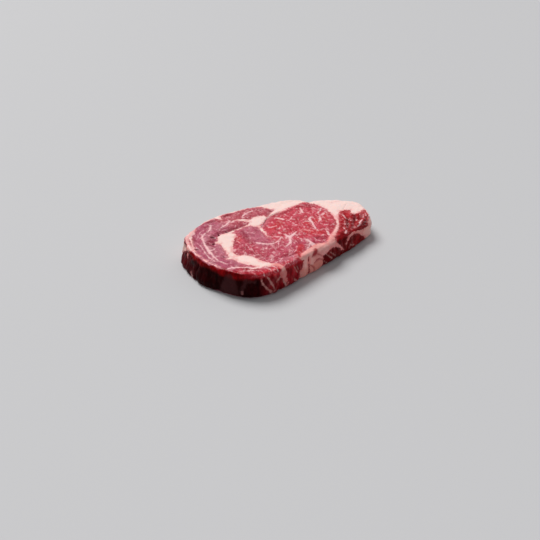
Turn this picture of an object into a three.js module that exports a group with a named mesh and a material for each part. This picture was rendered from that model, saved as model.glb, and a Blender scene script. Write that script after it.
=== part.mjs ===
// A raw ribeye steak: one thick slice of meat and fat that lies flat on its cut face.
// Millimetres, +Z up. The origin is the middle of the footprint, on the surface that the
// steak lies on. +X runs along the slice from its round cap end to its fatty tail, and
// -Y is the nearly straight side.
import * as THREE from "three";
import { mergeVertices } from "three/addons/utils/BufferGeometryUtils.js";

// Driving sizes
const thickness = 20;
const halfLength = 93;
const halfWidth = 51;

// Cells of the box that is bent into the slice, and how much narrower they get towards
// the edge, from above and down the side
const cellsAlong = 58;
const cellsAcross = 34;
const cellsDeep = 8;
const rimCrowding = 1.19;
const sideCrowding = 0.15;

// The edge of the slice from above, anticlockwise from the cap end's front corner
const edgePoints = [
  [-63, -50.5], [-22, -51], [20, -50], [58, -48.5], [78.5, -44.5], [89.5, -30], [94, -15],
  [85, -1], [65, 15], [61, 16], [58, 17.8], [57, 21.5], [53.5, 26.5], [36.5, 38], [8, 44.5],
  [-24, 51.5], [-46, 51], [-62, 45.5], [-78, 39], [-87.5, 20.5], [-91.5, -3], [-87.5, -26],
  [-78, -43],
];

// How the edge is rounded on its way round, by direction from the middle in degrees:
// the top corner's radius, how far the side swells out, and how far the top sinks there
const rimForms = [
  { at: -180, radius: 3, swell: 1.4, sink: 0.3 },
  { at: -155, radius: 2.2, swell: 2.2, sink: 0 },
  { at: -110, radius: 2.6, swell: 1.4, sink: 0 },
  { at: -70, radius: 3, swell: 1.8, sink: 0.4 },
  { at: -40, radius: 6.5, swell: 0.8, sink: 2.6 },
  { at: -24, radius: 4.5, swell: 0, sink: 1.4 },
  { at: -8, radius: 2.6, swell: 0.3, sink: 0.3 },
  { at: 25, radius: 2.2, swell: 0.8, sink: 0 },
  { at: 130, radius: 2.6, swell: 0.8, sink: 0 },
  { at: 160, radius: 3, swell: 0.4, sink: 0.2 },
  { at: 180, radius: 3, swell: 1.4, sink: 0.3 },
];
const bottomRadius = 1.8;
const swellSkew = 0.65; // below 1, the sides swell out most below the middle
const sinkReach = 26; // how far in from the edge the top starts to sink
const rimFade = 6; // how far in from the edge the relief of the top keeps its height

// Bodies and seams of fat, each a chain of x, y and half width
const fat = {
  leftKernel: [[-49, 15.5, 6.8], [-55, 9, 6.2], [-61, 0, 4.2], [-67.5, -9, 3], [-65, -19, 5.6],
    [-61, -29, 6.2], [-56, -37, 4.2], [-50, -44, 2.2], [-47.5, -52, 2.6]],
  middleKernel: [[-15, 17, 4.2], [-8, 20, 6.8], [1, 23, 3.6]],
  innerSeam: [[-13, 11, 1.5], [-18, 3, 0.8], [-22, -6, 0.5]],
  capSeam: [[-42, 20.5, 1.4], [-30, 20.5, 0.8], [-16, 20, 1.8]],
  backFat: [[8, 46, 2.4], [20, 39, 5.5], [31, 30, 11], [42, 27, 9], [50, 23, 5.5], [56, 17, 2.4]],
  eyeTopSeam: [[30, 22, 5], [18, 22.5, 3], [9, 20.5, 1.4], [2, 17.5, 0.8]],
  tailFat: [[59, 13, 2.5], [65, 4, 7.5], [68, -6, 11], [79, -10, 12], [86, -19, 9], [80, -26, 5],
    [88, -32, 3.5], [84, -39, 2.5]],
  eyeSeam: [[64, -10, 8], [56, -17.5, 4], [48, -26, 1.3], [40, -33.5, 1.2], [31, -39, 1.6],
    [21, -43.5, 1.9], [12, -48, 1.8]],
  frontFat: [[-25, -52, 3.5], [-16, -50, 4.5], [-6, -49, 5], [5, -52, 4]],
};

const fatBlend = 0.9;

// Relief of the top: fat stands up, lean dips beside it and crowns away from it
const fatRise = 0.6;
const leanDip = 0.5;
const dipWidth = 3.2;
const leanCrown = 0.5;
const crownWidth = 14;

const edgeCurve = new THREE.CatmullRomCurve3(
  edgePoints.map(([x, y]) => new THREE.Vector3(x, y, 0)), true, "centripetal");

const smooth = (low, high, x) => THREE.MathUtils.smoothstep(x, low, high);

// The edge as a table over direction: reach from the middle, and the outward normal
function edgeTable(steps) {
  const rows = edgeCurve.getSpacedPoints(steps).slice(0, steps).map((p, i) => {
    const along = edgeCurve.getTangentAt(i / steps);
    return { angle: Math.atan2(p.y, p.x), reach: Math.hypot(p.x, p.y), nx: along.y, ny: -along.x };
  });
  rows.sort((a, b) => a.angle - b.angle);
  const [first, last] = [rows[0], rows[steps - 1]];
  return [{ ...last, angle: last.angle - 2 * Math.PI }, ...rows,
    { ...first, angle: first.angle + 2 * Math.PI }];
}

// The row between two rows of a table that has the given value of a key
function between(rows, key, value) {
  const high = Math.max(1, rows.findIndex((row) => row[key] >= value));
  const [a, b] = [rows[high - 1], rows[high]];
  const share = (value - a[key]) / (b[key] - a[key]);
  const mixed = Object.keys(a).map((name) => [name, THREE.MathUtils.lerp(a[name], b[name], share)]);
  return Object.fromEntries(mixed);
}

const edges = edgeTable(720);
const edgeAt = (angle) => between(edges, "angle", angle);
const rimAt = (angle) => between(rimForms, "at", THREE.MathUtils.radToDeg(angle));

// Distance to one link of a chain, below zero inside it
function linkDistance([ax, ay, aw], [bx, by, bw], x, y) {
  const [dx, dy] = [bx - ax, by - ay];
  const share = THREE.MathUtils.clamp(((x - ax) * dx + (y - ay) * dy) / (dx * dx + dy * dy), 0, 1);
  const gap = Math.hypot(x - ax - share * dx, y - ay - share * dy);
  return gap - THREE.MathUtils.lerp(aw, bw, share);
}

// Distance to all the fat, with the links blended where they meet
function fatDistance(x, y) {
  let sum = 0;
  for (const chain of Object.values(fat)) {
    for (let i = 1; i < chain.length; i += 1) {
      sum += Math.exp(-linkDistance(chain[i - 1], chain[i], x, y) / fatBlend);
    }
  }
  return -fatBlend * Math.log(sum);
}

// Slow unevenness of a hand-cut face: three crossing waves, about 1 high in all
function wave(x, y, length) {
  const k = (2 * Math.PI) / length;
  return 0.5 * Math.sin(k * (x + 0.35 * y) + 0.6) + 0.3 * Math.sin(k * 1.7 * (0.4 * x - y) + 2.1)
    + 0.2 * Math.sin(k * 2.9 * (0.8 * x + 0.7 * y) + 4);
}

function topRelief(x, y) {
  const gap = fatDistance(x, y);
  const inLean = Math.max(gap, 0);
  const rise = fatRise * smooth(1, -1.5, gap);
  const dip = leanDip * Math.exp(-((inLean - 1.2) ** 2) / dipWidth) * smooth(-0.5, 0.5, gap);
  const crown = leanCrown * (1 - Math.exp(-inLean / crownWidth));
  return rise - dip + crown + 0.35 * wave(x, y, 62);
}

// Fat and lean take turns down the sides, which leaves them softly ribbed and pitted
function sideRelief(around, z) {
  return 0.55 * wave(around, 2.2 * z, 34) + 0.3 * wave(around + 3 * z, 4 * z, 13);
}

// Moves one point of the box, with every coordinate from -1 to 1, to its place in the slice
function place(a, b, c) {
  const u = a * Math.sqrt(1 - (b * b) / 2);
  const v = b * Math.sqrt(1 - (a * a) / 2);
  const share = 1 - (1 - Math.min(1, Math.hypot(u, v))) ** rimCrowding;
  const angle = Math.atan2(v * halfWidth, u * halfLength);
  const edge = edgeAt(angle);
  const rim = rimAt(angle);
  const flatX = Math.cos(angle) * edge.reach * share;
  const flatY = Math.sin(angle) * edge.reach * share;
  const facing = Math.cos(angle) * edge.nx + Math.sin(angle) * edge.ny;
  const inset = (1 - share) * edge.reach * facing;
  const height = thickness * (0.5 + 0.5 * c * (1 + sideCrowding * (1 - c * c)));

  // A square corner point is drawn in to the quarter circle of the rounded corner
  const upper = c > 0;
  const radius = upper ? rim.radius : bottomRadius;
  const level = upper ? thickness - height : height;
  let out = 0;
  let z = height;
  if (inset < radius && level < radius) {
    const across = radius - inset;
    const up = radius - level;
    const stretch = radius / Math.hypot(across, up);
    const squareness = Math.max(across, up) / radius;
    out = across * stretch * squareness - across;
    const lift = up * stretch * squareness - up;
    z += upper ? lift : -lift;
  }

  const around = angle * 75;
  const nearSide = Math.exp(-inset / 5);
  const middle = Math.sin(Math.PI * (height / thickness) ** swellSkew) ** 2;
  out += nearSide * (rim.swell * middle + sideRelief(around, height) * (0.25 + 0.75 * middle));
  const x = flatX + edge.nx * out;
  const y = flatY + edge.ny * out;

  const sink = rim.sink * (1 - smooth(0, sinkReach, inset));
  z += (height / thickness) * (topRelief(x, y) * smooth(-rimFade, rimFade / 2, inset) - sink);
  return [x, y, z];
}

function steakGeometry() {
  const box = new THREE.BoxGeometry(2, 2, 2, cellsAlong, cellsAcross, cellsDeep);
  box.deleteAttribute("normal");
  box.deleteAttribute("uv");
  const slice = mergeVertices(box, 1e-4);
  const points = slice.getAttribute("position");
  for (let i = 0; i < points.count; i += 1) {
    points.setXYZ(i, ...place(points.getX(i), points.getY(i), points.getZ(i)));
  }
  slice.computeVertexNormals();
  return slice;
}

const rawMeat = new THREE.MeshStandardMaterial({ color: 0xb4464f, roughness: 0.35, metalness: 0 });

const steak = new THREE.Mesh(steakGeometry(), rawMeat);
steak.name = "steak";

const group = new THREE.Group();
group.add(steak);

export default group;
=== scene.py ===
import math
from functools import partial

import bmesh
import bpy
import numpy as np
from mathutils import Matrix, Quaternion, Vector, noise


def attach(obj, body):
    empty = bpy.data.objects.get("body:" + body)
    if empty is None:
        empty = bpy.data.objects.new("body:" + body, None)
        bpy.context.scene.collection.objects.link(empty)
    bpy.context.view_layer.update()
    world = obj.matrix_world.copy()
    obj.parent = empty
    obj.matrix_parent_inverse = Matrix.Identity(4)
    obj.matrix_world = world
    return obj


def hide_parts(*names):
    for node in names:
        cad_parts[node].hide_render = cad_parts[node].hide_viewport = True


# A raw ribeye steak. The solid's copy is made finer here and given the small relief, the
# marbling and the wet surface of cut meat. Everything is in the solid's frame: +X runs from
# the round cap end to the tail, and +Y is the side with the outer fat. Blender's own sizes
# are metres, and the patterns are laid out in millimetres.
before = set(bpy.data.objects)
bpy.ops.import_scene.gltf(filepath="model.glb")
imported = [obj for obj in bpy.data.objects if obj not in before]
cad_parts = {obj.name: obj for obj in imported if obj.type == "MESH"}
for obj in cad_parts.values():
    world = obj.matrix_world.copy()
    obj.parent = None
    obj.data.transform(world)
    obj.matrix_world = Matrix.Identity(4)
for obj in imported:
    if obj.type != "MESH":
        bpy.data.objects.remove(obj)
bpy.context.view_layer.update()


def linear(hexColour):
    # sRGB hex to the linear colour that Blender works in
    parts = [int(hexColour[i:i + 2], 16) / 255 for i in (1, 3, 5)]
    return [c / 12.92 if c <= 0.04045 else ((c + 0.055) / 1.055) ** 2.4 for c in parts] + [1.0]


def ease(start, end, x):
    # 0 up to start, 1 from end on, smooth between; start may be the larger
    t = np.clip((x - start) / (end - start), 0, 1)
    return t * t * (3 - 2 * t)


# The edge of the slice from above, in mm, anticlockwise from the middle of the front
edgeLine = [
    (0, -50.5), (58, -48.5), (78.5, -44.5), (89.5, -30), (94, -15), (85, -1), (65, 15), (57, 21.5),
    (36.5, 38), (8, 44.5), (-24, 51.5), (-46, 51), (-62, 45.5), (-78, 39), (-87.5, 20.5), (-91.5, -3),
    (-87.5, -26), (-78, -43), (-63, -50.5),
]

# Length along the edge is counted from the middle of the front: up towards the tail and the
# back, and down around the cap end for this many mm
countedBack = 205

# The crest of fat along the right half of the front edge: x, y and half width, in mm
ridgeLine = [
    (36, -37, 1.6), (28, -41, 2.4), (20, -44.5, 2.8), (11, -48.5, 2.6), (2, -50.5, 2),
]

# Fat on the cut faces: chains of x, y and half width, in mm
faceFat = {
    "leftKernel": [(-46, 16.4, 6.2), (-51.3, 14.8, 7), (-55.4, 9, 6.3), (-59.5, 3.2, 4.3),
        (-63.4, -2.4, 3.2), (-66, -8, 3), (-66.6, -13, 3.2), (-65.2, -17.5, 4.8), (-63.4, -22, 6.4),
        (-61.2, -27.5, 6.3), (-59.8, -33, 5), (-57, -38, 3.5), (-53.5, -42, 2.6), (-50.2, -45.5, 1.8),
        (-49.5, -49.5, 1.6), (-49.5, -54, 2.4)],
    "kernelTongue": [(-57.5, 11.8, 3.8), (-62.6, 13.6, 1.2)],
    "kernelSpur": [(-68, -12.5, 2), (-74, -11.5, 0.7)],
    "middleKernel": [(-14.5, 17.5, 4.4), (-9, 20, 6.4), (-3, 22, 5), (2, 22.5, 2.6)],
    "kernelTip": [(-13, 25, 2.6), (-17, 29, 1.6), (-22, 33, 0.9), (-27, 34, 0.4)],
    "innerSeam": [(-14, 11, 1.9), (-16.5, 6, 1.2), (-18.5, 1, 0.9), (-22, -7, 0.4)],
    "capSeam": [(-42, 20.5, 1.4), (-35, 21.3, 0.5), (-28, 20.6, 0.5), (-22, 20, 0.9), (-16, 20, 2.2)],
    "backFat": [(9, 46.5, 2.2), (18, 41, 3.6), (29, 31, 9.4), (40, 28, 9), (49, 24, 5.5),
        (55, 19.5, 2.4)],
    "eyeTopSeam": [(27, 22.5, 4.2), (16, 22, 2.4), (9, 20.4, 1.2), (1, 17.8, 0.5)],
    "tailFat": [(58.5, 14, 2), (66, 4, 7), (67, -8, 9), (77, -10.5, 11.2), (86, -19, 9.6),
        (80.5, -25.5, 5), (75.5, -27, 4.4), (70.5, -28.6, 2)],
    "tailBack": [(60, 14.5, 2), (67, 9, 5), (78, 2, 5.5), (88, -6, 5), (92, -14, 4)],
    "tailRim": [(86, -19, 8), (90.3, -28, 5.2), (87.2, -35.5, 3.6), (83.6, -40, 3.2), (79, -44, 2.6),
        (74.5, -46, 1.4), (70, -47, 0.2)],
    "eyeSeam": [(66, -9, 7.6), (60, -13.5, 5), (54.5, -19.5, 3), (49.5, -25.5, 1.5), (44.5, -30.5, 1.1),
        (38, -35.5, 1.3), (30, -40, 1.7), (22, -43.6, 2.2), (14, -47.3, 2.2), (7, -51, 2.6)],
    "frontFat": [(-27, -52.5, 3), (-20, -50.5, 4.4), (-12, -50, 5), (-5, -48.5, 4.8), (1, -48.5, 3.4),
        (8, -52.5, 3)],
    "backRim": [(-52, 50.5, 1.6), (-42, 52, 2.8), (-24, 52.2, 3.2), (-10, 49, 2.9), (-2, 47.2, 2.9),
        (5, 45.6, 2.7), (11, 44.6, 2.8)],
    "backNotch": [(-30.5, 50, 3.4), (-30.8, 45.5, 1.6), (-31, 42.5, 0.5)],
    "endRim": [(-61, 45.5, 1.3), (-66.5, 41.5, 2.2), (-72, 39, 2.9), (-77.5, 34.5, 1.5),
        (-82, 27.5, 1.8), (-84.8, 21, 2.2), (-86.6, 15, 0.3), (-87.8, 8.5, 1.5), (-88.2, 3, -0.1),
        (-88.4, -3, 1.1), (-88.4, -8, -0.1), (-88, -13, 0.6), (-87.4, -18, -0.4)],
    "endStrand": [(-72, 37, 1.6), (-76.5, 30, 0.8), (-81.5, 22, 1.1), (-85.5, 15, 0.9)],
    "cornerFingers": [(-61, -37, 2.2), (-65.5, -37.6, 0.9), (-71, -35.5, 0.4)],
}

# Thin veins of fat in the lean of the cut faces, as above. The short ones of the tail are partly strands
# of fat and partly painted glints of its wet lean
faceVeins = {
    "forkStem": [(-25.5, -31, 0.4), (-20, -29.6, 0.8), (-16, -28, 1), (-12.5, -24, 1), (-10, -21.5, 1.5)],
    "forkArms": [(-9.3, -14.5, 0.8), (-9.8, -21, 1.3), (-5, -20.6, 1), (1, -19.2, 0.5)],
    "bow": [(-38.5, -10.5, 1.3), (-36, -14, 0.9), (-33, -17.5, 0.8), (-30, -19.5, 0.9),
        (-25, -20.3, 0.5), (-19, -18.5, 0.5), (-14, -15.5, 0.3)],
    "starStem": [(32, -8.5, 0.6), (27, -12, 1.3), (25, -17, 1), (20.5, -22.5, 0.7), (17, -30, 0.4)],
    "starArm": [(22.5, -11, 0.5), (26, -15.5, 1)],
    "upperShort": [(40.5, 11.5, 0.5), (37, 7, 0.9), (34, 3, 0.8)],
    "palePatch": [(6.5, 11.5, 0.9), (9, 8.5, 1.1), (10, 4.5, 0.7)],
    "rightLong": [(52, -10, 0.5), (45, -12, 0.8), (40, -13, 0.6), (36, -17, 1), (32, -19.5, 0.7)],
    "rightUpper": [(55, -2, 0.4), (50, -5, 0.6), (44, -7.5, 0.4)],
    "frontShort": [(24.5, -33, 0.5), (22, -37.5, 0.8), (20, -40.5, 0.9)],
    "frontVein": [(-3.4, -32.5, 0.5), (-3.2, -37, 0.9), (-3.6, -41, 1.4), (-4.5, -45, 2)],
    "frontBranch": [(-3.4, -40, 0.8), (-9, -42.5, 0.5), (-14, -45.5, 0.4)],
    "capLine": [(-57, 33, 0.1), (-62.5, 30.8, 0.4), (-66, 28, 0.8), (-69, 23.4, 0.8), (-72, 18, 0.7),
        (-75.6, 9.6, 1), (-76.6, 7.4, 1.5), (-79, 0, 0.7), (-81, -9, 0.5), (-80, -17, 0.3)],
    "capLineBarb": [(-76.2, 7.6, 1.1), (-73.4, 6.4, 0.5), (-71, 6.6, 0.1)],
    "capShort": [(-56, 32.5, 0.5), (-50, 36, 0.8), (-46, 40.5, 0.5)],
    "capStreak": [(-43, 31, 0.4), (-34, 32.5, 0.8), (-27, 36, 0.5)],
    "capBack": [(-14, 34, 0.4), (-6, 36.5, 0.8), (2, 36.5, 0.5)],
    "capEnd": [(-84, 22, 0.5), (-80, 31, 0.9), (-74, 36.5, 0.8), (-66, 38, 0.7)],
    "capOuter": [(-84, -10, 0.2), (-83.5, -2, 0.4), (-80.5, 8, 0.3), (-76, 19, 0.2)],
    "cornerLong": [(-84, -24.5, 0.6), (-78, -27, 1), (-74, -31, 0.7), (-67, -36.5, 0.6),
        (-60, -41.5, 0.7)],
    "cornerMiddle": [(-80, -33, 0.3), (-73, -38, 0.7), (-67.5, -43, 0.5), (-68.5, -49, 0.7)],
    "cornerRight": [(-61, -41, 0.5), (-60, -45.5, 0.7), (-62.5, -51, 0.5)],
    "cornerLast": [(-55.5, -41, 0.8), (-54.5, -46, 0.8), (-56.5, -52, 0.5)],
    "cornerFirst": [(-77, -37.5, 0.2), (-74, -42, 0.6), (-74.5, -46.5, 0.4)],
    "tailUpper": [(60, -24, 0.3), (57.6, -28, 0.7), (55, -32, 0.6)],
    "tailGlint": [(57.8, -34.4, 0.8), (56.2, -36.4, 0.8)],
    "tailLeft": [(51, -33.5, 0.3), (48, -36.2, 0.7), (45, -38.5, 0.2)],
    "tailRight": [(64, -36.2, 0.4), (61.4, -39.2, 0.8)],
    "tailBright": [(67, -42, 0.4), (61, -43.4, 1.4), (58, -45, 0.8), (53, -46.6, 0.5), (48, -48, 0.8)],
    "tailStripe": [(75.5, -36.5, 0.6), (71, -40, 0.7)],
    "tailStripeOuter": [(79, -36, 0.5), (75, -39.6, 0.6)],
    "tailStripeInner": [(72, -35, 0.3), (68.5, -38, 0.6)],
    "tailSpot": [(42, -40, 0.7), (39.5, -42.4, 0.8)],
    "tailFrontSpot": [(38, -45.6, 1.1), (35.2, -47.8, 1.1)],
    "tailBandSpot": [(42.5, -48, 1.2), (38, -50, 1.3)],
}

# Small holes and gaps in the cut faces, and folds in the loose lean of the tail. Both are sunk into the
# surface, and their colour is darkened as painted shade
facePits = {
    "kernelTop": [(-59.5, 23.5, 1.2), (-58.5, 20.8, 0.9)],
    "kernelTopRight": [(-51.5, 23.6, 0.8), (-52.3, 22, 0.6)],
    "kernelRight": [(-43, 23.5, 0.6), (-42, 22.3, 0.5)],
    "kernelLeft": [(-67, 13, 0.8), (-64.5, 13.6, 0.5)],
    "capLow": [(-73.5, -8, 0.6), (-72.5, -6.5, 0.6)],
    "kernelGap": [(-14.5, 9, 0.1), (-11, 11.2, 0.35), (-5, 14, 0.35), (0, 17, 0.3), (6, 19.6, 0.2),
        (12, 20.2, 0.2), (19, 19.6, 0.1), (27, 17.8, -0.3)],
    "rimHole": [(-82.8, 17.6, 0.5), (-81.6, 15.4, 0.7)],
    "fatCrease": [(67.5, -17.3, -0.1), (73, -15.6, 0.05), (76, -14, -0.15), (79, -12.6, 0.1),
        (84, -11.4, -0.2)],
    "rimNick": [(59, 18.2, 0.8), (57.6, 15.5, 0.5)],
}
faceFolds = {
    "tailFold": [(69.5, -31, 0.5), (65, -35, 0.9), (59.5, -38.2, 1.3), (53, -42, 1.2), (47, -46, 1.4),
        (43, -50, 1)],
    "tailFoldLeft": [(58, -31, 0.3), (54, -34.4, 0.7), (49, -38.4, 0.8), (44.5, -42.6, 0.5)],
    "tailFoldRight": [(77, -41, 0.4), (70, -44, 0.8), (62, -48, 1)],
}

# Where the lean of the cut faces is deeper, paler and brighter. The deeper places are partly the lean's
# own tone and partly painted shade beside raised fat and seams, between folds and in the front corner
deepLeanAndShade = {
    "capKernel": [(-69, 15, 3.5), (-63, 21, 3.5), (-57, 25, 2)],
    "capSeam": [(-50, 26, 1.5), (-38, 23.5, 1.8), (-26, 22.8, 1.6), (-18, 22, 0.8)],
    "capTop": [(-44, 45.5, 1), (-38, 44.5, 1.2)],
    "capTopRight": [(-26, 45.5, 1), (-16, 44.5, 0.8)],
    "capPoint": [(6, 36, 0.5), (10, 34, 1), (13, 31, 0.5)],
    "capFoot": [(3, 20.8, 0.6), (10, 23.5, 0.8), (17, 26.5, 1.2)],
    "capEnd": [(-80, 28, 1.5), (-76, 30, 2.5), (-72, 34, 1.5)],
    "capRim": [(-85, 22, 1.5), (-84, 16, 1.8)],
    "innerStreak": [(-32, 14, 1), (-35, 8, 2.4), (-40, 0, 1.8), (-43, -7, 1.4)],
    "innerTip": [(-57, 1.5, 1.2), (-50, 4, 1.6), (-44, 10, 1.4)],
    "eyeCorner": [(40, 15, 2.5), (47, 12.5, 4), (52, 8, 3.5), (55, 13, 1.5)],
    "eyeTop": [(2, 16, 1.2), (12, 17, 1.8), (24, 14, 2), (33, 15.5, 1.5)],
    "eyeFoot": [(6, -38, 2), (12, -40, 1.8)],
    "frontDark": [(-22, -42, 1), (-30, -44, 1.5), (-40, -41, 1.2), (-34, -40.5, 0.8)],
    "tailDark": [(56, -33, 0.5), (52, -36.5, 1), (46, -41.5, 1), (43, -44.5, 0.6)],
    "tailFoot": [(31, -45.5, 1.4), (38, -46, 1.6), (44, -49, 1.4)],
    "tailDarkRight": [(68, -31.5, 1.6), (62, -36.5, 1.6), (70, -38, 1.4)],
    "cornerDark": [(-72, -35, 1.8), (-68, -39, 1.4)],
}
paleLean = {
    "kernelLeft": [(-64, 10, 1.5), (-67, 3, 2), (-71, -4, 2.2), (-73, -13, 2), (-71, -24, 2.2)],
    "kernelFront": [(-70, -31, 2), (-66, -38, 1.8), (-59, -43, 1.4)],
    "capMiddle": [(-57, 30, 2), (-62, 27, 3), (-66, 24, 2.5)],
    "kernelGap": [(-13, 9, 1.6), (-7, 12.5, 2.6), (-1, 15.5, 2), (6, 18, 1)],
    "capKnot": [(-73, 12, 1.5), (-76, 6, 2.5), (-79, -2, 1.5)],
    "capRight": [(-50, 33, 1.5), (-42, 35, 2), (-34, 36, 1.5)],
    "forkAround": [(-14, -26, 1.5), (-9, -20, 2.5), (-4, -22, 1.5)],
    "eyeFrontEdge": [(-44, -44, 2), (-36, -47, 2.5), (-30, -46, 1.5)],
}
brightLean = {
    "tailCrown": [(70, -24, 1), (66, -27, 1.2), (60, -30, 0.6)],
    "eyeLeft": [(-12, -2, 1), (-6, 1, 2.4), (2, 2, 2.4), (8, 9, 1)],
    "eyeStar": [(34, -16, 2.5), (28, -16.5, 2), (20, -15, 2.5)],
    "eyeRight": [(52, -12, 2.2), (44, -15.5, 2.6), (38, -22, 2)],
    "eyeMiddle": [(8, -22, 3), (12, -30, 3.5), (18, -35, 2)],
    "frontEdge": [(-14, -38, 2), (-22, -44, 2.5), (-30, -49, 2.5)],
    "tailEdge": [(83, -36, 2), (79, -40, 2.4), (73, -43.5, 1.6)],
    "innerEdge": [(-47, 2, 1.4), (-42, 9, 1.2)],
}

# The muscles: a chain through each, its colour, how marbled it is, and where its streaks
# point, by an angle or around a centre
muscles = {
    "eye": {
        "body": [(2, -14, 18), (12, -12, 28), (38, -8, 20)],
        "lean": "#d14a5b", "marbling": 0.9, "grainTurn": 52,
    },
    "eyeFront": {
        "body": [(-44, -44, 8), (-30, -34, 10), (-14, -34, 9), (4, -40, 6)],
        "lean": "#c45166", "marbling": 0.95, "grainTurn": 48,
    },
    # The mauve of innerPale and of the cap is partly their own colour and partly a painted sheen of the
    # wet lean
    "innerPale": {
        "body": [(-38, -12, 4), (-33, 0, 7), (-28, 8, 8), (-24, 13, 5)],
        "lean": "#c2657a", "marbling": 0.45, "grainTurn": 60,
    },
    "innerLeft": {
        "body": [(-60, -8, 4), (-52, -3, 7), (-46, 5, 6), (-38, 17, 2), (-48, -18, 7)],
        "lean": "#c44e61", "marbling": 0.95, "grainTurn": 66,
    },
    "cap": {
        "body": [(-80, -20, 7), (-80, 0, 9), (-74, 20, 11), (-60, 33, 11), (-45, 35, 12)],
        "lean": "#ba5c74", "marbling": 0.62, "grainCentre": (-15, -15),
    },
    "capBack": {
        "body": [(-30, 37, 11), (-16, 38, 11), (0, 35, 8), (12, 30, 6)],
        "lean": "#c55d6b", "marbling": 0.8, "grainCentre": (-15, -15),
    },
    "corner": {
        "body": [(-80, -38, 8), (-68, -47, 8), (-58, -50, 7)],
        "lean": "#bd3648", "marbling": 0.5, "grainTurn": 60,
    },
    "tail": {
        "body": [(62, -27, 6), (64, -36, 9), (50, -40, 9), (34, -47, 6), (76, -40, 7)],
        "lean": "#ae1421", "marbling": 0.36, "grainTurn": 40,
    },
}

# Fat on the side: chains of place along the edge, height and half width, in mm
sideFat = {
    "frontLeft": [(-22, 17.5, 2.4), (-23, 12, 3.4), (-24.4, 6, 5), (-25.5, -1, 5.6)],
    "frontMiddle": [(-12, 15, 6.5), (-9.5, 9, 9.2), (-9.5, 3, 8.4), (-10, -2, 8)],
    "frontUpper": [(-10, 17, 5.5), (0, 16, 5), (8, 17, 3.6), (16, 18, 3), (20, 19.5, 1.6)],
    "frontSlant": [(14, 16, 2.2), (18, 14.5, 2), (22, 12, 1.3), (26, 8, 1.2), (29.5, 5.5, 0.6)],
    "tailBand": [(33.5, 9.5, 0.4), (36.5, 13.5, 1.2), (41, 16.2, 2.2), (47, 16, 1.8), (52, 14.6, 1.6),
        (57, 12, 2.2), (62, 10, 3.2), (68, 9, 5.6), (76, 8.5, 8), (86, 9, 11), (97, 10, 13)],
    "tailBandTop": [(37, 19.5, 1), (40, 19.2, 1.8), (42, 16.5, 1.8)],
    "tailRimTop": [(68, 21, 0.6), (71, 18, 2.2), (76, 14.5, 5)],
    "tailFoot": [(66, 7, 2.6), (70, 2, 3.4), (78, -1, 5)],
    "backCover": [(97, 10, 13), (150, 10, 15), (200, 10, 15), (290, 10, 15)],
    "backCoverEnd": [(-215, 10, 15), (-185, 11, 12), (-174, 12, 8), (-165, 14, 4.5), (-157, 17, 2)],
    "leftBand": [(-51, 20, 3), (-50.2, 14.5, 3.4), (-49, 10.5, 1.8), (-47, 6, 0.7), (-46.5, 2, 0.4)],
    "endRimLump": [(-154, 20, 1.2), (-150, 19.2, 1.5), (-147, 19.8, 0.8)],
    "endLump": [(-152, 20.5, 1.8), (-151, 16.5, 0.8), (-149.5, 13, 1.5), (-150, 10.5, 0.5)],
    "endLumpFront": [(-138.4, 5, 0.3), (-138.2, 2.6, 1.1), (-137.9, 0.8, 1.1)],
}
sideVeins = {
    "streakUpper": [(8, 12, 0.1), (12, 8.5, 0.3), (15.5, 6, 0.1)],
    "streakLower": [(4, 11, 0.1), (7, 8, 0.4), (12, 4, 0.3), (15, 1, 0.1)],
    "streakFoot": [(2, 5, 0.1), (5, 2, 0.3)],
    "ovalUpper": [(38, 7.5, 0.3), (42, 5.5, 0.6), (45, 4.5, 0.3)],
    "ovalLower": [(48, 2.5, 0.2), (51, 1.2, 0.5), (54, 0, 0.3)],
    "bandBranch": [(-58, 10.5, 0.5), (-55.5, 12.5, 0.8), (-52, 13, 1)],
    "bandFoot": [(-50.5, 9, 0.9), (-48.5, 4, 0.7), (-47, 1, 0.6)],
    "forkLeft": [(-72, 18.5, 0.3), (-70.8, 13, 0.6), (-68.5, 9, 0.5), (-65.5, 5.6, 0.5), (-63, 2, 1),
        (-62.4, -2, 0.8)],
    "forkRight": [(-68, 20, 0.4), (-65.8, 16, 0.5), (-64, 12, 0.5), (-61.6, 7.5, 0.4), (-60.5, 3.7, 0.3)],
    "middleStreak": [(-39, 5.5, 0.3), (-36.5, 3.5, 0.7), (-34, 1.5, 0.4)],
    # The two glints are partly pale strands and partly painted highlights on the wet side
    "middleGlint": [(-37.5, 16, 0.1), (-36, 12.5, 0.4), (-34.5, 9.5, 0.1)],
    "middleGlintRight": [(-33.8, 15.5, 0.1), (-32.8, 13, 0.4), (-32.2, 11, 0.1)],
    "whiteTag": [(-86.8, 6.4, 0.7), (-86.6, 5, 0.6)],
    "endFoot": [(-118, 1.5, 0.5), (-115.5, 1.2, 0.4)],
    "endFootFront": [(-109, 0.8, 0.4), (-107, 1.2, 0.5)],
}

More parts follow.
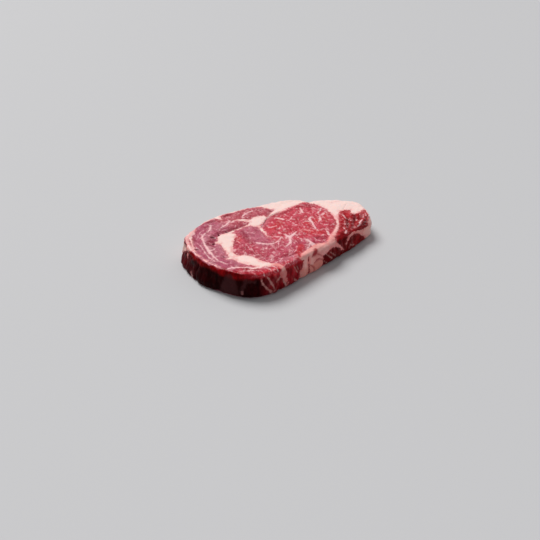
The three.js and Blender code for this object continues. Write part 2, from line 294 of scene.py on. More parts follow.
# Thin places between the lumps of the side's fat, where the lean below reddens it; hollows;
# and greyish dried membrane
sideSpots = {
    "rimSpot": [(-15.6, 16, 0.5), (-13, 16.6, 1.4), (-10, 17.4, 2.1), (-7.4, 19, 1.4)],
    "spotTail": [(-9, 16.5, 0.6), (-5, 14, 0.5), (-2.5, 12, 0.2)],
    "lumpGap": [(-21, 10.8, 0.1), (-17, 8.8, 0.4), (-14, 6, 0.7), (-13.2, 3.5, 0.3), (-14, 1, -0.2)],
    "lumpLine": [(-13, 9.4, 0.3), (-7.5, 10.8, 0.7), (-2.5, 8.8, 0.5), (0.5, 5, 1)],
}
sideHollows = {
    "belowRidge": [(22, 18.5, 1.5), (27, 16.5, 3.2), (32, 13.5, 2)],
    "cornerFold": [(-53.5, 12, 0.5), (-54, 6, 1.2), (-55, 0, 1.5)],
    "eyeFoot": [(-31, 14, 0.5), (-30, 7, 1.6), (-30, 0, 2)],
    "endFold": [(-130, 14, 0.6), (-132, 8, 1.2), (-131, 1, 1)],
    "endNotch": [(-152, 15, 0.6), (-150, 8, 1), (-150, 1, 1.2)],
    "endWaist": [(-162, 16.5, 1.2), (-150, 16, 1.8), (-140, 16, 0.6)],
}
sideSheath = {
    "wedge": [(-98, 15, 3.5), (-97, 10, 6), (-97, 4, 8)],
    "strap": [(-83.5, 18, 1.4), (-84.5, 14, 1.5), (-86, 9, 1.3), (-87, 5, 1)],
    "strapTop": [(-83, 15, 1.3), (-77, 14.5, 1)],
}

# Colour of the lean and of the fat on the side, by place along the edge: partly their own colour, partly
# painted shade where the side faces away from the light, and painted light on the fat at the tail end
sideLeanWithShade = [
    (-205, "#8a3a40"), (-175, "#72202a"), (-155, "#561016"), (-138, "#3d080d"), (-122, "#2c0305"),
    (-100, "#240203"), (-74, "#300305"), (-62, "#860f19"), (-50, "#8c101a"), (-34, "#9c1522"),
    (8, "#7c0c14"), (27, "#6a0207"), (38, "#7a060b"), (48, "#960d14"), (62, "#8e131a"), (95, "#8a3a40"),
    (300, "#8a3a40"),
]
sideFatWithLightAndShade = [
    (-205, "#ecd0c6"), (-170, "#e6bfb6"), (-135, "#d09a98"), (-60, "#e49592"), (-50, "#db8582"),
    (-40, "#f0a29e"), (-25, "#ffbdb6"), (-17, "#ffb8b1"), (-10, "#ee9591"), (0, "#f8aeaa"),
    (50, "#f09f9a"), (72, "#ffc0b8"), (90, "#ffd6cc"), (130, "#f3dace"), (300, "#ecd0c6"),
]


def smoothCurve(points, steps):
    # A curve through the points, as its own points; the first and last are used twice
    points = np.array([points[0]] + list(points) + [points[-1]], float)
    curve = []
    for a, b, c, d in zip(points, points[1:], points[2:], points[3:]):
        for t in np.arange(steps) / steps:
            curve.append(0.5 * (2 * b + (c - a) * t + (2 * a - 5 * b + 4 * c - d) * t ** 2
                                + (3 * b - a - 3 * c + d) * t ** 3))
    return curve + [points[-1]]


def chainGap(chain, x, y):
    # Distance to the outside of a chain in mm, below zero within it
    gap = np.full(len(x), 1e3)
    curve = smoothCurve(chain, 3)
    for (ax, ay, aw), (bx, by, bw) in zip(curve, curve[1:]):
        dx, dy = bx - ax, by - ay
        share = np.clip(((x - ax) * dx + (y - ay) * dy) / (dx * dx + dy * dy), 0, 1)
        reach = np.hypot(x - ax - share * dx, y - ay - share * dy) - (aw + (bw - aw) * share)
        gap = np.minimum(gap, reach)
    return gap


def nearestGap(chains, x, y):
    return np.minimum.reduce([chainGap(chain, x, y) for chain in chains.values()])


def edgePlace(x, y):
    # Where the edge passes each point: length along it from the middle of the front, and how far
    # in from it, below zero outside
    curve = np.array(smoothCurve([edgeLine[-1]] + edgeLine + edgeLine[:2], 6))[6:-6]
    best = np.full(len(x), 1e3)
    along = np.zeros(len(x))
    outside = np.zeros(len(x), bool)
    length = 0
    for (ax, ay), (bx, by) in zip(curve, curve[1:]):
        dx, dy = bx - ax, by - ay
        step = math.hypot(dx, dy)
        share = np.clip(((x - ax) * dx + (y - ay) * dy) / step ** 2, 0, 1)
        gap = np.hypot(x - ax - share * dx, y - ay - share * dy)
        nearer = gap < best
        best = np.where(nearer, gap, best)
        along = np.where(nearer, length + share * step, along)
        outside = np.where(nearer, dx * (y - ay) < dy * (x - ax), outside)
        length += step
    # The count turns over behind the cap end
    along = np.where(along > length - countedBack, along - length, along)
    return along, np.where(outside, -best, best)


def bumps(points, size, octaves=2, stretch=(1, 1, 1), shift=0):
    # Smooth noise about 1 high, with features of the given size in mm
    grid = points / (size * np.array(stretch)) + shift
    return np.array([noise.fractal(Vector(p), 1.0, 2.0, octaves) for p in grid])


def finerCopy(node, levels):
    # The solid's loose triangles merged and paired to quads, then rounded and made finer
    mesh = bpy.data.meshes.new("steakSurface")
    bm = bmesh.new()
    bm.from_mesh(node.data)
    bmesh.ops.remove_doubles(bm, verts=bm.verts, dist=0.00001)
    bmesh.ops.join_triangles(bm, faces=bm.faces, angle_face_threshold=math.pi,
                             angle_shape_threshold=math.pi)
    for face in bm.faces:
        face.smooth = True
        face.material_index = 0
    bm.to_mesh(mesh)
    bm.free()
    for name in ("custom_normal", "sharp_edge", "sharp_face"):
        if name in mesh.attributes:
            mesh.attributes.remove(mesh.attributes[name])
    piece = bpy.data.objects.new("steakMeat", mesh)
    bpy.context.scene.collection.objects.link(piece)
    rounding = piece.modifiers.new("rounding", "SUBSURF")
    rounding.levels = rounding.render_levels = levels
    with bpy.context.temp_override(object=piece, active_object=piece):
        bpy.ops.object.modifier_apply(modifier="rounding")
    return piece


def readVertices(mesh, name):
    values = np.empty(len(mesh.vertices) * 3)
    mesh.vertices.foreach_get(name, values)
    return values.reshape(-1, 3)


def setAttribute(mesh, name, kind, values):
    layer = mesh.attributes.new(name, kind, "POINT")
    field = {"FLOAT": "value", "FLOAT_VECTOR": "vector", "FLOAT_COLOR": "color"}[kind]
    layer.data.foreach_set(field, np.ascontiguousarray(values, np.float32).ravel())


# Heights and sizes of the small relief, in mm
steakRelief = {
    "fineLevels": 2,  # the solid's cells are cut in four this many times
    "fatLumps": 0.28, "fatLumpSize": 6.5,
    "fatGrain": 0.10, "fatGrainSize": 2.2,
    "leanBundles": 0.22, "leanBundleSize": 4.2,
    "leanGrain": 0.10, "leanGrainSize": 1.9,
    "seamDepth": 0.28, "sideSeamDepth": 0.39, "seamWidth": 0.9,
    "veinRise": 0.10, "pitDepth": 1.1, "foldDepth": 0.9,
    "tailVeinLoss": 0.45, "cornerVeinLoss": 0.4,  # veins are narrower there by this on each side
    "sideRough": 0.7, "sideRoughSize": 6.0,
    "sideFibre": 0.26, "sideFibreSize": 2.4,
    "coverFacets": 0.6, "coverFacetSize": 14.0,
    "rimLumps": 0.45, "rimLumpSize": 7.5, "rimWander": 1.2, "rimWanderSize": 5.0,
    "frontFatDome": 0.9, "spotCrease": 0.7, "hollowDepth": 1.3, "ridgeRise": 0.8,
    "tailRelief": 2.2,  # the bundles stand this many times higher in the loose lean of the tail
    "rimHeight": 20.0, "tailRimDrop": 2.6,
    "footSwell": 2.6, "footHeight": 11.0, "frontFootShare": 0.35,  # the side spreads out at its foot
}

# Parts of the edge: where each starts, is whole, begins to fade and has ended
edgeParts = {
    "tailDrop": (26, 70, 78, 110),
    "leftRimGlow": (-165, -140, -72, -52),
    "leftFrontRim": (-116, -108, -70, -58),
    "frontRim": (-70, -62, 44, 60),
    "frontFat": (-62, -54, 40, 56),
    "lowFat": (-31, -27, 0, 3),
    "frontGlow": (-78, -70, -24, -16),
    "leftFoot": (-172, -158, -128, -104),
    "frontFoot": (-128, -104, 40, 60),
}


def edgePart(name):
    start, whole, fading, end = edgeParts[name]
    return ease(start, whole, along) * ease(end, fading, along)


steak = finerCopy(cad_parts["steak"], steakRelief["fineLevels"])
mesh = steak.data
points = readVertices(mesh, "co") * 1000
normals = readVertices(mesh, "normal")
x, y, z = points.T
print("finer copy:", len(mesh.vertices), "vertices,", len(mesh.polygons), "faces")

# How much each point belongs to the side and not to the two cut faces. The two numbers of
# every ease on a distance, height or length are where its effect starts and is whole, in mm.
cut = steakRelief
along, inset = edgePlace(x, y)
upper = ease(8, 12, z)
farSide = ease(60, 100, np.abs(along))
rimWander = bumps(points, cut["rimWanderSize"], 3, shift=61)
rimHeight = cut["rimHeight"] - cut["tailRimDrop"] * edgePart("tailDrop") + cut["rimWander"] * rimWander
rimStrip = ease(1.9, 0.9, inset + 0.9 * rimWander) * ease(-72, -88, along) * upper
side = np.maximum(rimStrip, ease(rimHeight - 0.6, rimHeight - 3.4, z))
side *= ease(0.5, 2.2, z) * ease(9, 5, inset)
face = 1 - side
topFace = face * upper

# Distances to everything in the layout; 20 mm away stands for nowhere near
sideFatGap = nearestGap(sideFat, along, z)
spotGap = nearestGap(sideSpots, along, z)
fatGap = nearestGap(faceFat, x, y) * face + sideFatGap * side
veinGap = nearestGap(faceVeins, x, y) * face + nearestGap(sideVeins, along, z) * side
sheathGap = nearestGap(sideSheath, along, z) * side + 20 * face
pitGap = nearestGap(facePits, x, y) + 20 * (1 - topFace)
foldGap = nearestGap(faceFolds, x, y) + 20 * (1 - topFace)

# The veins are thinner in the tail and the front corner
inTail = ease(1, -3, chainGap(muscles["tail"]["body"], x, y))
inCorner = ease(2, -4, chainGap(muscles["corner"]["body"], x, y))
veinGap += (cut["tailVeinLoss"] * inTail + cut["cornerVeinLoss"] * inCorner) * face

# Small relief of the faces and of the side, along the normal
inFat = ease(0.4, -0.6, fatGap)
seam = np.exp(-((fatGap - 0.5) / cut["seamWidth"]) ** 2)
lift = inFat * (cut["fatLumps"] * bumps(points, cut["fatLumpSize"])
                + cut["fatGrain"] * bumps(points, cut["fatGrainSize"], shift=7))
bundleRise = cut["leanBundles"] * (1 + (cut["tailRelief"] - 1) * inTail)
lift += (1 - inFat) * (bundleRise * bumps(points, cut["leanBundleSize"], shift=13)
                       + cut["leanGrain"] * bumps(points, cut["leanGrainSize"], shift=21))
lift -= cut["seamDepth"] * seam
lift += cut["veinRise"] * ease(0.5, -0.5, veinGap)
lift -= cut["pitDepth"] * ease(0.6, -0.5, pitGap)
lift -= cut["foldDepth"] * ease(1.6, -1, foldGap)
sideLift = (cut["sideRough"] * bumps(points, cut["sideRoughSize"], 3, shift=31)
            + cut["sideFibre"] * bumps(points, cut["sideFibreSize"], 2, (1, 1, 4), shift=37)
            + cut["coverFacets"] * bumps(points, cut["coverFacetSize"], 1, shift=41) * farSide)
sideLift -= cut["sideSeamDepth"] * seam
sideLift += cut["frontFatDome"] * ease(0.5, -3.5, sideFatGap) * ease(75, 55, np.abs(along))
sideLift -= cut["spotCrease"] * ease(1.2, -0.6, spotGap)
lift = lift * face + sideLift * side
lift -= cut["hollowDepth"] * ease(2.5, -2, nearestGap(sideHollows, along, z)) * ease(4, 2, inset)
foot = ease(cut["footHeight"], 3, z) * ease(9, 5, inset)
lift += cut["footSwell"] * foot * (edgePart("leftFoot") + cut["frontFootShare"] * edgePart("frontFoot"))
lift += cut["ridgeRise"] * ease(1.5, -1.5, chainGap(ridgeLine, x, y)) * upper
rim = ease(8, 4, inset) * ease(12, 17, z)
lift += cut["rimLumps"] * bumps(points, cut["rimLumpSize"], 2, shift=47) * rim

# The underside lies on its whole face, so its relief only goes in, and less
below = ease(1.2, 0.2, z) * ease(-0.5, -0.9, normals[:, 2])
lift = lift * (1 - below) + np.minimum(lift * 0.5, 0) * below
points = points + normals * lift[:, None]
points[:, 2] = np.maximum(points[:, 2], 0)
mesh.vertices.foreach_set("co", (points / 1000).ravel())
mesh.update()
print("small relief done")

# The direction of the streaks, muscle by muscle
streakLayout = {
    "patternGap": 60,  # mm between the patterns of two muscles, so that no two share one
    "arcRadius": 62,  # a turn around a centre counts as the length of this arc
    "sideStretch": 0.35,  # height counts for this much on the side, which draws its streaks out
}
muscleGaps = np.array([chainGap(m["body"], x, y) for m in muscles.values()])
grain = points.copy()
for index, muscle in enumerate(muscles.values()):
    own = muscleGaps.argmin(0) == index
    if "grainCentre" in muscle:
        cx, cy = muscle["grainCentre"]
        turn = np.arctan2(y - cy, x - cx)
        grain[own, 0] = (turn * streakLayout["arcRadius"])[own]
        grain[own, 1] = np.hypot(x - cx, y - cy)[own]
    else:
        turn = math.radians(muscle["grainTurn"])
        grain[own, 0] = (x * math.cos(turn) + y * math.sin(turn))[own]
        grain[own, 1] = (y * math.cos(turn) - x * math.sin(turn))[own]
    grain[own, 2] = z[own] + streakLayout["patternGap"] * index

# On the side the fibres run from face to face
onSide = side > 0.5
grain[onSide] = np.stack([streakLayout["sideStretch"] * z, along, inset], 1)[onSide]

# Tints laid over parts of the lean and the fat, each with the share of it that is laid on.
# The last two are factors on red, green and blue instead.
steakTints = {
    "faceFat": ("#fbdbd5", 1.0),
    "frontFat": ("#f09a94", 0.75),
    "lowFat": ("#e58578", 0.65),
    "thinFat": ("#cf7a72", 0.45),
    "capEndFat": ("#ecaaab", 0.6),
    "spot": ("#a82630", 0.92),
    # The next four tints are painted glows: red light coming through the meat at its rims
    "leftRimGlow": ("#8a0a10", 1.0),
    "frontRim": ("#d41c28", 1.0),
    "rimGlow": ("#a8151f", 0.75),
    "frontGlow": ("#e2303e", 0.6),
    "bright": ("#d03a42", 0.8),
    "pale": ("#dd93a1", 0.42),
    "deepAndShade": ((0.60, 0.28, 0.36, 1), 0.8),
    "foldShade": ((0.35, 0.30, 0.40, 1), 0.75),
}

# How far muscles blend where they meet, in mm, how much of the marbling is lost in some
# places, and how much shows on the side and on its front rim
steakBlend = {
    "muscleBlend": 2.6, "muscleDepth": 6,
    "deepLoss": 0.36, "brightLoss": 0.28, "glowLoss": 0.6,
    "sideMarbling": 0.015, "frontRimMarbling": 0.2,
}


def alongTint(stops):
    # A colour for each point from stops along the edge
    places = [place for place, _ in stops]
    colours = np.array([linear(colour) for _, colour in stops])
    return np.stack([np.interp(along, places, channel) for channel in colours.T], 1)


def stain(tint, name, place):
    # Lays a tint over another where place is above 0
    colour, share = steakTints[name]
    cover = (share * place)[:, None]
    return tint * (1 - cover) + np.array(linear(colour)) * cover


def deepen(tint, name, place):
    factors, share = steakTints[name]
    return tint * (1 - (share * place)[:, None] * (1 - np.array(factors)))


# Lean: each muscle's own colour, blended where they meet
mix = steakBlend
closeness = np.exp(-np.maximum(muscleGaps, -mix["muscleDepth"]) / mix["muscleBlend"])
closeness /= closeness.sum(0)
leanTint = sum(w[:, None] * np.array(linear(m["lean"])) for w, m in zip(closeness, muscles.values()))
marbled = sum(w * m["marbling"] for w, m in zip(closeness, muscles.values()))

# On the side it is dark, partly by its own colour and partly as painted shade, and under the rim a
# painted red glow stands for light coming through it
sideTint = alongTint(sideLeanWithShade)
leftRimGlow = ease(14.5, 18.5, z + 1.6 * bumps(points, 9, shift=43)) * edgePart("leftRimGlow")
sideTint = stain(sideTint, "leftRimGlow", leftRimGlow)
sideTint = stain(sideTint, "frontRim", ease(14.5, 19, z) * edgePart("frontRim"))
leanTint = leanTint * face[:, None] + sideTint * side[:, None]

# Fat: pinker along the front edge and at the cap end, and where it is thin
thinFat = ease(0.0, 0.5, bumps(points, 7, 4, (2.6, 2.6, 0.9), shift=51))
fatTint = stain(alongTint(sideFatWithLightAndShade), "faceFat", face)
fatTint = stain(fatTint, "frontFat", ease(13, 5, inset) * edgePart("frontFat") * face)
fatTint = stain(fatTint, "lowFat", ease(10.5, 8, z) * edgePart("lowFat") * side)
fatTint = stain(fatTint, "thinFat", thinFat * farSide * side)
fatTint = stain(fatTint, "capEndFat", ease(6, 4, inset) * ease(-95, -105, along) * face)
fatTint = stain(fatTint, "spot", ease(1.0, -1.2, spotGap) * ease(0, 0.4, inFat) * ease(4, 2, inset))

# Deeper, brighter and paler places in the lean of the faces; the deeper ones are partly painted shade
deepAndShade = ease(1.8, -1.2, nearestGap(deepLeanAndShade, x, y)) * face
bright = ease(2.5, -1.2, nearestGap(brightLean, x, y)) * face
pale = ease(3.0, -1.5, nearestGap(paleLean, x, y)) * face
# Painted glow: near its front-left rim the top face is reddened as if light came through the rim, and a
# little more so further along the front
glow = ease(4.5, 1.2, inset + rimWander) * edgePart("leftFrontRim") * topFace
leanTint = deepen(leanTint, "deepAndShade", deepAndShade)
# Painted shade in the folds of the tail's loose lean
leanTint = deepen(leanTint, "foldShade", ease(1.2, -1, foldGap))
leanTint = stain(leanTint, "bright", bright)
leanTint = stain(leanTint, "rimGlow", glow)
leanTint = stain(leanTint, "frontGlow", ease(7, 1.5, inset + rimWander) * edgePart("frontGlow") * topFace)
leanTint = stain(leanTint, "pale", pale)
marbled *= (1 - mix["deepLoss"] * deepAndShade - mix["brightLoss"] * bright) * (1 - mix["glowLoss"] * glow)
marbled = marbled * face + (mix["sideMarbling"] + mix["frontRimMarbling"] * edgePart("frontRim")) * side

for name, values in {"fatGap": fatGap, "veinGap": veinGap, "sheathGap": sheathGap, "pitGap": pitGap,
                     "side": side, "marbled": marbled}.items():
    setAttribute(mesh, name, "FLOAT", values)
setAttribute(mesh, "leanTint", "FLOAT_COLOR", leanTint)
setAttribute(mesh, "fatTint", "FLOAT_COLOR", fatTint)
setAttribute(mesh, "grain", "FLOAT_VECTOR", grain)
print("muscle and fat layout done")


def addNode(tree, kind, settings=None, links=None, output=None):
    # Adds a node, sets its properties and input values, links its inputs, and gives one output
    node = tree.nodes.new("ShaderNode" + kind)
    for name, value in (settings or {}).items():
        if isinstance(name, int) or name in node.inputs:
            node.inputs[name].default_value = value
        else:
            setattr(node, name, value)
    for name, source in (links or {}).items():
        tree.links.new(source, node.inputs[name])
    if output:
        return node.outputs[output]
    return next((socket for socket in node.outputs if socket.enabled), None)


beefFinish = {
    # Fresh cut beef: bright lean, cream fat, and a film of juice that makes both shine.
    # The colours of veins, of lean beside fat, of a painted sheen on the wet lean, of dried membrane, and
    # of painted shade in holes
    "vein": "#f6c4c7", "sideVein": "#c48581", "border": "#d97c80",
    "paintedSheen": "#db8b9b", "sheath": "#4c2729", "pitShade": "#561a22",
    "deeperLean": (0.66, 0.42, 0.44, 1), "outerFat": (0.93, 0.63, 0.66, 1),  # factors
    # Marbling in mm: spacing and half width of its threads, coarse and fine, the size of their
    # breaks and how much they show; and the flecks between them
    "threads": ((11.0, 0.55, 5.0, 0.85), (6.0, 0.34, 3.2, 0.6)),
    "fleckSize": 3.0, "fleckShare": 0.6, "threadStretch": (0.6, 1.0, 0.8),
    "warpSize": 12.0, "warpReach": 8.0, "nearVein": 4.0, "nearVeinWidening": 0.35,
    # Borders between fat and lean, patches in the lean, and clouds in the fat, in mm, and the
    # share of the borders' wander that veins and holes take
    "wanderSize": 2.4, "borderWander": 1.15, "patchSize": 5.0, "streakSize": 3.2, "cloudSize": 7.0,
    "creamCloud": -2.4, "pinkCloud": 2.2, "veinWander": 0.75, "pitWander": 0.25,
    "bundleSize": 1.5,  # bundles of fibres are nearer 1 mm, and are drawn coarser so that they show
    # How dark and light streaks and bundles are, as factors, and how much of a colour is laid on
    "streakDark": 0.5, "streakLight": 1.5, "bundleDark": 0.86, "bundleLight": 1.05,
    "faceBorder": 0.7, "sideBorder": 0.25, "paintedSheenShare": 0.65, "sheathShare": 0.7, "pitShadeShare": 0.85,
    # Relief too fine for the mesh, in mm, with the heights of bundles and marbling in it, and
    # how wet it is
    "leanGrain": 0.9, "fatGrain": 2.6, "grainStrength": 0.55, "grainDepth": 0.35,
    "bundleHeight": 0.5, "marblingHeight": 0.35,
    "wetSize": 5.0, "wetLean": 0.26, "dryLean": 0.44, "fatRoughness": 0.46,
    "faceFilm": 0.4, "sideFilm": 0.02,
    # Meat lets a little light in, red the deepest, and its film bends light much as water does
    "surface": {
        "Subsurface Weight": 0.08, "Subsurface Radius": (1.0, 0.35, 0.25), "Subsurface Scale": 0.002,
        "IOR": 1.4, "Specular IOR Level": 0.02, "Coat Roughness": 0.16, "Coat IOR": 1.36,
    },
}


def beefMaterial(finish):
    # Raw beef, sliced: one surface, because fat and lean meet in it without a gap
    material = bpy.data.materials.new("raw beef, lean and fat")
    material.use_nodes = True
    tree = material.node_tree
    tree.nodes.clear()
    add = partial(addNode, tree)

    place = add("Mapping", {"Scale": (1000, 1000, 1000)}, {"Vector": add("TexCoord", output="Object")})
    grainPlace = add("Attribute", {"attribute_name": "grain"}, output="Vector")
    fatGap = add("Attribute", {"attribute_name": "fatGap"}, output="Fac")
    veinGap = add("Attribute", {"attribute_name": "veinGap"}, output="Fac")
    sheathGap = add("Attribute", {"attribute_name": "sheathGap"}, output="Fac")
    pitGap = add("Attribute", {"attribute_name": "pitGap"}, output="Fac")
    sideShare = add("Attribute", {"attribute_name": "side"}, output="Fac")
    marbled = add("Attribute", {"attribute_name": "marbled"}, output="Fac")
    leanTint = add("Attribute", {"attribute_name": "leanTint"}, output="Color")
    fatTint = add("Attribute", {"attribute_name": "fatTint"}, output="Color")

    # Borders wander a little, as fat and lean grow into each other
    wander = add("TexNoise", {"Scale": 1 / finish["wanderSize"], "Detail": 4.0, "Roughness": 0.6},
                 {"Vector": place})
    wander = add("MapRange", {"From Min": 0.25, "From Max": 0.75, "To Min": -finish["borderWander"],
                              "To Max": finish["borderWander"]}, {"Value": wander})
    fatEdge = add("Math", {"operation": "ADD"}, {0: fatGap, 1: wander})
    fatShare = add("MapRange", {"interpolation_type": "SMOOTHSTEP", "From Min": 0.5, "From Max": -0.5},
                   {"Value": fatEdge})
    border = add("MapRange", {"interpolation_type": "SMOOTHSTEP", "From Min": 2.2, "From Max": -0.4,
                              "To Max": 0.6}, {"Value": fatEdge})
    veinEdge = add("Math", {"operation": "MULTIPLY_ADD", 1: finish["veinWander"]},
                   {0: wander, 2: veinGap})
    veinShare = add("MapRange", {"interpolation_type": "SMOOTHSTEP", "From Min": 0.8, "From Max": -0.6},
                    {"Value": veinEdge})

    # Marbling: threads along the borders of warped cells, broken up, at two sizes, and flecks
    warp = add("TexNoise", {"Scale": 1 / finish["warpSize"], "Detail": 3.0}, {"Vector": place}, "Color")
    warp = add("VectorMath", {"operation": "SUBTRACT", 1: (0.5, 0.5, 0.5)}, {0: warp})
    warp = add("VectorMath", {"operation": "MULTIPLY_ADD", 1: (finish["warpReach"],) * 3},
               {0: warp, 2: grainPlace})
    stretched = add("VectorMath", {"operation": "MULTIPLY", 1: finish["threadStretch"]}, {0: warp})
    nearVein = add("MapRange", {"From Min": finish["nearVein"], "From Max": 0.0,
                                "To Max": finish["nearVeinWidening"]}, {"Value": veinGap})
    flecks = add("TexNoise", {"Scale": 1 / finish["fleckSize"], "Detail": 3.0, "Roughness": 0.55},
                 {"Vector": stretched})
    marble = add("MapRange", {"interpolation_type": "SMOOTHSTEP", "From Min": 0.53, "From Max": 0.72,
                              "To Max": finish["fleckShare"]}, {"Value": flecks})
    for spacing, width, breaks, showing in finish["threads"]:
        cells = add("TexVoronoi", {"feature": "DISTANCE_TO_EDGE", "Scale": 1 / spacing},
                    {"Vector": stretched})
        gate = add("TexNoise", {"Scale": 1 / breaks, "Detail": 3.0, "Roughness": 0.6}, {"Vector": warp})
        gate = add("MapRange", {"From Min": 0.42, "From Max": 0.68, "To Min": -0.55, "To Max": width},
                   {"Value": gate})
        gate = add("Math", {"operation": "ADD"}, {0: gate, 1: nearVein})
        gap = add("Math", {"operation": "MULTIPLY", 1: spacing}, {0: cells})
        gap = add("Math", {"operation": "SUBTRACT"}, {0: gap, 1: gate})
        thread = add("MapRange", {"interpolation_type": "SMOOTHSTEP", "From Min": 0.45,
                                  "From Max": -0.3, "To Max": showing}, {"Value": gap})
        marble = add("Math", {"operation": "MAXIMUM"}, {0: marble, 1: thread})
    marble = add("Math", {"operation": "MULTIPLY"}, {0: marble, 1: marbled})
    marble = add("Math", {"operation": "MAXIMUM"}, {0: marble, 1: veinShare})

    # Lean: streaks down the side, deeper patches, a painted sheen, and bundles of fibres seen end on
    streaks = add("TexNoise", {"Scale": 1 / finish["streakSize"], "Detail": 4.0, "Roughness": 0.6},
                  {"Vector": grainPlace})
    streaks = add("MapRange", {"From Min": 0.32, "From Max": 0.68, "To Min": finish["streakDark"],
                               "To Max": finish["streakLight"]}, {"Value": streaks})
    streaks = add("Mix", {"data_type": "FLOAT", 2: 1.0}, {0: sideShare, 3: streaks})
    leanTint = add("VectorMath", {"operation": "SCALE"}, {0: leanTint, "Scale": streaks})
    deeper = add("Mix", {"data_type": "RGBA", "blend_type": "MULTIPLY", 0: 1.0, 7: finish["deeperLean"]},
                 {6: leanTint})
    patches = add("TexNoise", {"Scale": 1 / finish["patchSize"], "Detail": 5.0, "Roughness": 0.65},
                  {"Vector": warp})
    darkPatches = add("MapRange", {"From Min": 0.33, "From Max": 0.56}, {"Value": patches})
    lean = add("Mix", {"data_type": "RGBA"}, {0: darkPatches, 6: deeper, 7: leanTint})
    # Painted sheen: a pale lavender laid over the lean in patches, standing for light glancing off its
    # wet film
    paintedSheen = add("MapRange", {"From Min": 0.54, "From Max": 0.80, "To Max": finish["paintedSheenShare"]},
               {"Value": patches})
    paintedSheen = add("Math", {"operation": "MULTIPLY"}, {0: paintedSheen, 1: marbled})
    lean = add("Mix", {"data_type": "RGBA", 7: linear(finish["paintedSheen"])}, {0: paintedSheen, 6: lean})
    bundles = add("TexVoronoi", {"Scale": 1 / finish["bundleSize"]}, {"Vector": warp})
    bundles = add("MapRange", {"From Min": 0.3, "From Max": 0.75, "To Min": finish["bundleLight"],
                               "To Max": finish["bundleDark"]}, {"Value": bundles})
    lean = add("VectorMath", {"operation": "SCALE"}, {0: lean, "Scale": bundles})
    borderShare = add("MapRange", {"To Min": finish["faceBorder"], "To Max": finish["sideBorder"]},
                      {"Value": sideShare})
    borderShare = add("Math", {"operation": "MULTIPLY"}, {0: border, 1: borderShare})
    lean = add("Mix", {"data_type": "RGBA", 7: linear(finish["border"])}, {0: borderShare, 6: lean})
    veinColour = add("Mix", {"data_type": "RGBA", 6: linear(finish["vein"]),
                             7: linear(finish["sideVein"])}, {0: sideShare})
    lean = add("Mix", {"data_type": "RGBA"}, {0: marble, 6: lean, 7: veinColour})

    # Fat: cream within, pinker towards the lean and in clouds
    clouds = add("TexNoise", {"Scale": 1 / finish["cloudSize"], "Detail": 4.0, "Roughness": 0.65},
                 {"Vector": place})
    clouds = add("MapRange", {"From Min": 0.35, "From Max": 0.7, "To Min": finish["creamCloud"],
                              "To Max": finish["pinkCloud"]}, {"Value": clouds})
    fatDepth = add("Math", {"operation": "ADD"}, {0: fatEdge, 1: clouds})
    fatDepth = add("MapRange", {"interpolation_type": "SMOOTHSTEP", "From Min": 0.4, "From Max": -3.4},
                   {"Value": fatDepth})
    outerFat = add("Mix", {"data_type": "RGBA", "blend_type": "MULTIPLY", 0: 1.0, 7: finish["outerFat"]},
                   {6: fatTint})
    fat = add("Mix", {"data_type": "RGBA"}, {0: fatDepth, 6: outerFat, 7: fatTint})
    colour = add("Mix", {"data_type": "RGBA"}, {0: fatShare, 6: lean, 7: fat})

    # Dried membrane, and painted shade in holes and gaps
    sheath = add("Math", {"operation": "ADD"}, {0: sheathGap, 1: wander})
    sheath = add("MapRange", {"interpolation_type": "SMOOTHSTEP", "From Min": 1.2, "From Max": -1.2,
                              "To Max": finish["sheathShare"]}, {"Value": sheath})
    colour = add("Mix", {"data_type": "RGBA", 7: linear(finish["sheath"])}, {0: sheath, 6: colour})
    pitShade = add("Math", {"operation": "MULTIPLY_ADD", 1: finish["pitWander"]}, {0: wander, 2: pitGap})
    pitShade = add("MapRange", {"interpolation_type": "SMOOTHSTEP", "From Min": 0.5, "From Max": -0.3,
                           "To Max": finish["pitShadeShare"]}, {"Value": pitShade})
    colour = add("Mix", {"data_type": "RGBA", 7: linear(finish["pitShade"])}, {0: pitShade, 6: colour})

    # Grain of lean and fat, and the raised marbling
    leanHeight = add("TexNoise", {"Scale": 1 / finish["leanGrain"], "Detail": 3.0, "Roughness": 0.6},
                     {"Vector": place})
    leanHeight = add("Math", {"operation": "MULTIPLY_ADD", 1: finish["bundleHeight"]},
                     {0: bundles, 2: leanHeight})
    fatHeight = add("TexNoise", {"Scale": 1 / finish["fatGrain"], "Detail": 3.0, "Roughness": 0.55},
                    {"Vector": place})
    height = add("Mix", {"data_type": "FLOAT"}, {0: fatShare, 2: leanHeight, 3: fatHeight})
    height = add("Math", {"operation": "MULTIPLY_ADD", 1: finish["marblingHeight"]},
                 {0: marble, 2: height})
    normal = add("Bump", {"Strength": finish["grainStrength"], "Distance": finish["grainDepth"] / 1000},
                 {"Height": height})

    # Juice lies unevenly on the lean, and hardly on the side
    wetness = add("TexNoise", {"Scale": 1 / finish["wetSize"], "Detail": 3.0}, {"Vector": place})
    wetness = add("MapRange", {"From Min": 0.35, "From Max": 0.65, "To Min": finish["wetLean"],
                               "To Max": finish["dryLean"]}, {"Value": wetness})
    roughness = add("Mix", {"data_type": "FLOAT", 3: finish["fatRoughness"]}, {0: fatShare, 2: wetness})
    film = add("MapRange", {"To Min": finish["faceFilm"], "To Max": finish["sideFilm"]},
               {"Value": sideShare})
    surface = add("BsdfPrincipled", finish["surface"],
                  {"Base Color": colour, "Roughness": roughness, "Normal": normal, "Coat Weight": film})
    add("OutputMaterial", links={"Surface": surface})
    return material


mesh.materials.clear()
mesh.materials.append(beefMaterial(beefFinish))
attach(steak, "root")
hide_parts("steak")
print("beef material done")

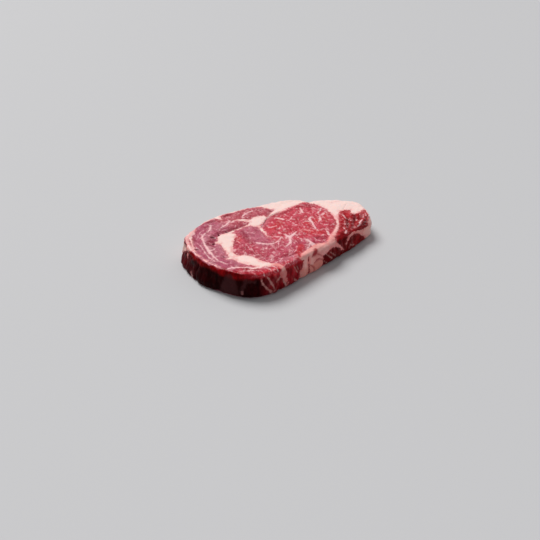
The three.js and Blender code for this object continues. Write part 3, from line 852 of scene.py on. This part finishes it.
# A plain pale floor, a big soft light from behind and above, and a weaker one all around
studio = {
    "floorSize": 12.0, "floorColour": "#c4c5c8",
    "keyFrom": (0.10, 0.70, 0.90), "keyStrength": 2.9, "keySoftness": 32, "keyColour": "#fffdfb",
    "roomLight": "#ffffff", "roomStrength": 0.30,
}

floorMesh = bpy.data.meshes.new("floor")
bm = bmesh.new()
bmesh.ops.create_grid(bm, x_segments=1, y_segments=1, size=studio["floorSize"] / 2)
bm.to_mesh(floorMesh)
bm.free()
floor = bpy.data.objects.new("floor", floorMesh)
bpy.context.scene.collection.objects.link(floor)
paint = bpy.data.materials.new("pale matt paint")
paint.use_nodes = True
paintSurface = paint.node_tree.nodes["Principled BSDF"]
paintSurface.inputs["Base Color"].default_value = linear(studio["floorColour"])
paintSurface.inputs["Roughness"].default_value = 0.8
floorMesh.materials.append(paint)

lamp = bpy.data.lights.new("keyLight", "SUN")
lamp.energy = studio["keyStrength"]
lamp.color = linear(studio["keyColour"])[:3]
lamp.angle = math.radians(studio["keySoftness"])
keyLight = bpy.data.objects.new("keyLight", lamp)
bpy.context.scene.collection.objects.link(keyLight)
keyLight.location = studio["keyFrom"]
keyLight.rotation_euler = (-Vector(studio["keyFrom"])).to_track_quat("-Z", "Y").to_euler()
world = bpy.data.worlds.new("studioRoom")
world.use_nodes = True
world.node_tree.nodes["Background"].inputs["Color"].default_value = linear(studio["roomLight"])
world.node_tree.nodes["Background"].inputs["Strength"].default_value = studio["roomStrength"]
bpy.context.scene.world = world
bpy.context.scene.view_settings.view_transform = "Standard"

# The camera stands where the photograph was taken from
view = {"place": (-0.35202, -0.31996, 0.26324), "aim": (-0.0367, -0.0246, 0), "roll": 2.0, "lens": 39.83}
lens = bpy.data.cameras.new("photoView")
lens.lens = view["lens"]
lens.sensor_width = 36
lens.clip_start = 0.01
camera = bpy.data.objects.new("photoView", lens)
bpy.context.scene.collection.objects.link(camera)
camera.location = view["place"]
towards = (Vector(view["aim"]) - Vector(view["place"])).to_track_quat("-Z", "Y")
camera.rotation_euler = (towards @ Quaternion((0, 0, 1), math.radians(view["roll"]))).to_euler()
bpy.context.scene.camera = camera
print("studio done")
